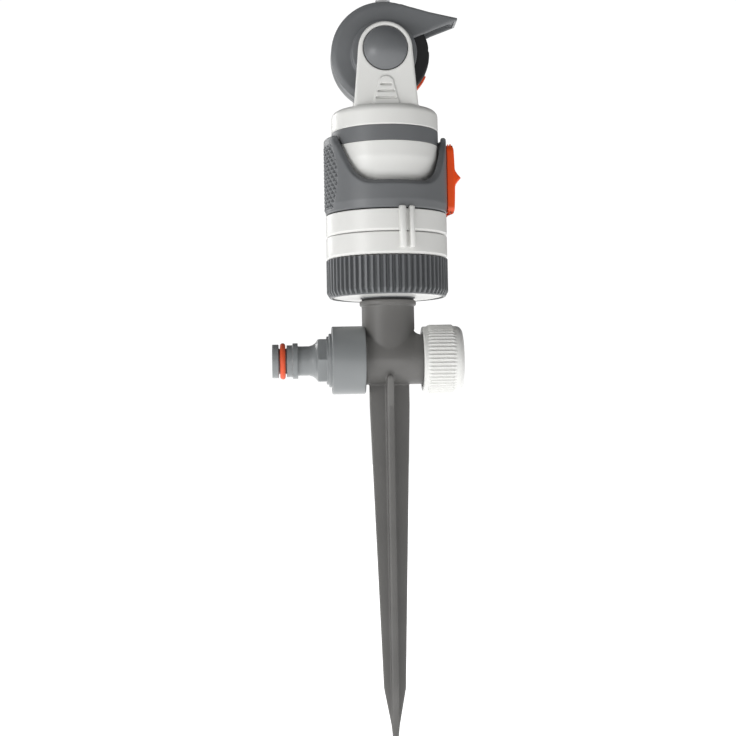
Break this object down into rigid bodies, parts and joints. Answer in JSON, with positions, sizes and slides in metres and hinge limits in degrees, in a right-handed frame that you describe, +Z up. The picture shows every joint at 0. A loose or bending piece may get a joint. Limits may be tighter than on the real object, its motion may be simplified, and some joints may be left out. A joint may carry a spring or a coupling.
{
  "type": "garden sprinkler",
  "caption": "Ground-spike garden sprinkler with a turbine-driven turning head, sector rings, full-circle selector and a tilting nozzle between yoke arms.",
  "frame": {"origin": "on the spike's axis at the soil line, 18 mm below the inlet axis", "axes": "+Z up along the spike and the head's turning axis, +X along the inlet axis towards the end cap, -Y towards the front of the yoke"},
  "size_m": [0.0921, 0.0604, 0.3535],
  "materials": {
    "spike_grey_pp": "moulded grey polypropylene, fine even sheen",
    "dark_grey_abs": "moulded dark grey ABS, satin",
    "grey_abs": "moulded mid grey ABS, satin",
    "light_grey_abs": "moulded light grey ABS, satin",
    "white_abs": "moulded white ABS, soft gloss",
    "black_abs": "moulded black ABS, satin",
    "orange_abs": "moulded orange ABS, satin",
    "natural_acetal": "natural acetal, slightly waxy",
    "black_rubber": "moulded black nitrile rubber",
    "orange_rubber": "moulded orange silicone rubber",
    "stainless_steel": "drawn stainless steel"
  },
  "bodies": {
    "base": {"tee_spike": "spike_grey_pp", "inlet_connector": "dark_grey_abs", "inlet_o_ring": "orange_rubber", "inlet_washer": "black_rubber", "filter_screen": "natural_acetal", "neck_washer": "black_rubber", "threaded_boss": "grey_abs", "base_plate": "white_abs", "base_screws": "stainless_steel", "grip_ring": "dark_grey_abs", "drive_housing": "white_abs", "shaft_seal": "black_rubber", "stator": "natural_acetal", "lower_gear_plate": "natural_acetal", "upper_gear_plate": "natural_acetal", "gear_pillars": "natural_acetal", "centre_arbor": "stainless_steel", "side_arbor": "stainless_steel", "detent_spring": "stainless_steel", "thrust_washer": "natural_acetal"},
    "turbine": {"turbine_wheel": "natural_acetal"},
    "first_gear": {"first_gear": "natural_acetal"},
    "second_gear": {"second_gear": "natural_acetal"},
    "third_gear": {"third_gear": "natural_acetal"},
    "head": {"output_gear": "natural_acetal", "output_shaft": "stainless_steel", "collar": "dark_grey_abs", "collar_screws": "stainless_steel", "turret_bowl": "white_abs", "turret_band": "black_abs", "band_seal": "black_rubber", "yoke": "white_abs"},
    "trip": {"trip_sleeve": "natural_acetal", "reversing_plate": "natural_acetal"},
    "lower_ring": {"lower_sector_ring": "white_abs"},
    "upper_ring": {"upper_sector_ring": "white_abs"},
    "selector": {"selector_slide": "orange_abs"},
    "nozzle": {"front_shell": "grey_abs", "rear_shell": "grey_abs", "shell_screws": "stainless_steel", "nozzle_drum": "black_abs", "nozzle_insert": "grey_abs", "range_marker": "orange_abs", "range_tab": "light_grey_abs", "trunnion_seals": "black_rubber", "front_hub_cap": "grey_abs", "rear_hub_cap": "grey_abs"},
    "cap_seal": {"cap_seal": "black_rubber"},
    "end_cap": {"end_cap": "white_abs"}
  },
  "joints": [
    {"name": "head_turn", "type": "hinge", "parent": "base", "child": "head", "pos_m": [0, 0, 0.088], "axis": [0, 0, 1], "continuous": true},
    {"name": "third_gear_spin", "type": "hinge", "parent": "base", "child": "third_gear", "pos_m": [0, 0.01083, 0.075], "axis": [0, 0, 1], "continuous": true},
    {"name": "second_gear_spin", "type": "hinge", "parent": "base", "child": "second_gear", "pos_m": [0, 0, 0.071], "axis": [0, 0, 1], "continuous": true},
    {"name": "first_gear_spin", "type": "hinge", "parent": "base", "child": "first_gear", "pos_m": [0, 0.01083, 0.067], "axis": [0, 0, 1], "continuous": true},
    {"name": "turbine_spin", "type": "hinge", "parent": "base", "child": "turbine", "pos_m": [0, 0, 0.058], "axis": [0, 0, 1], "continuous": true},
    {"name": "trip_swing", "type": "hinge", "parent": "base", "child": "trip", "pos_m": [0, 0, 0.052], "axis": [0, 0, 1], "range_deg": [0, 10]},
    {"name": "left_stop_turn", "type": "hinge", "parent": "trip", "child": "upper_ring", "pos_m": [0, 0, 0.0815], "axis": [0, 0, 1], "range_deg": [-160, 0]},
    {"name": "right_stop_turn", "type": "hinge", "parent": "trip", "child": "lower_ring", "pos_m": [0, 0, 0.0712], "axis": [0, 0, 1], "range_deg": [0, 160]},
    {"name": "selector_travel", "type": "slide", "parent": "head", "child": "selector", "axis": [0, 0, 1], "range_m": [-0.003, 0]},
    {"name": "nozzle_tilt", "type": "hinge", "parent": "head", "child": "nozzle", "pos_m": [0, 0, 0.1635], "axis": [0, -1, 0], "range_deg": [-25, 12]},
    {"name": "cap_travel", "type": "slide", "parent": "base", "child": "cap_seal", "axis": [1, 0, 0], "range_m": [0, 0.01182]},
    {"name": "cap_turn", "type": "hinge", "parent": "cap_seal", "child": "end_cap", "pos_m": [0.028, 0, 0.018], "axis": [1, 0, 0], "range_deg": [0, 2340]}
  ],
  "couplings": [
    {"joint": "third_gear_spin", "follows": "head_turn", "ratio": -3},
    {"joint": "second_gear_spin", "follows": "head_turn", "ratio": 9},
    {"joint": "first_gear_spin", "follows": "head_turn", "ratio": -27},
    {"joint": "turbine_spin", "follows": "head_turn", "ratio": 81},
    {"joint": "cap_travel", "follows": "cap_turn", "m_per_rad": 0.00028871}
  ]
}
